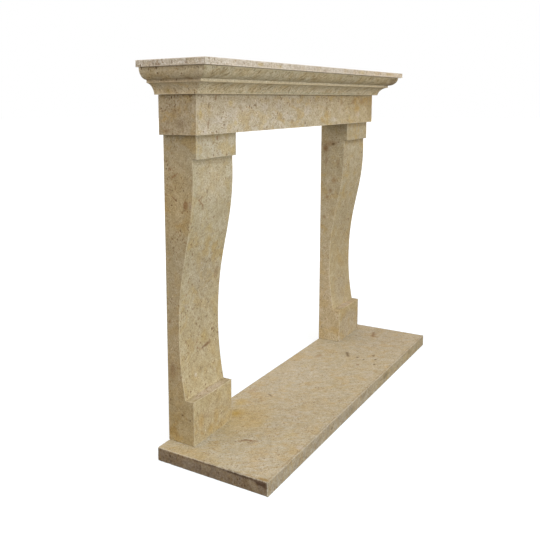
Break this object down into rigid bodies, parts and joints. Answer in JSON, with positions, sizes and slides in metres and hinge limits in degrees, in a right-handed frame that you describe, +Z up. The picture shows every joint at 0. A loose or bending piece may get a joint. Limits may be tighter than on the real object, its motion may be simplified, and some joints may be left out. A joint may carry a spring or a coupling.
{
  "type": "fireplace mantel",
  "caption": "Solid limestone fireplace mantel: scrolled legs on a hearth slab, plain frieze, mitred cavetto and ovolo cornice, thin mantel shelf.",
  "frame": {"origin": "middle of the hearth's underside, which is also the middle of the whole mantel's footprint", "axes": "+Z up, -Y out of the front into the room, +Y towards the wall behind, X along the shelf. Plane X = 0 is the plane of symmetry."},
  "size_m": [1.5754, 0.382, 1.2012],
  "materials": {
    "hearth_limestone": "honed",
    "leg_left_limestone": "honed",
    "leg_right_limestone": "honed",
    "frieze_limestone": "honed",
    "cornice_front_limestone": "honed",
    "cornice_return_limestone": "honed",
    "shelf_limestone": "honed"
  },
  "bodies": {
    "root": {"hearth_slab": "hearth_limestone", "leg_left": "leg_left_limestone", "leg_right": "leg_right_limestone", "frieze": "frieze_limestone", "cornice_front": "cornice_front_limestone", "cornice_return_left": "cornice_return_limestone", "cornice_return_right": "cornice_return_limestone", "mantel_shelf": "shelf_limestone"}
  },
  "joints": []
}
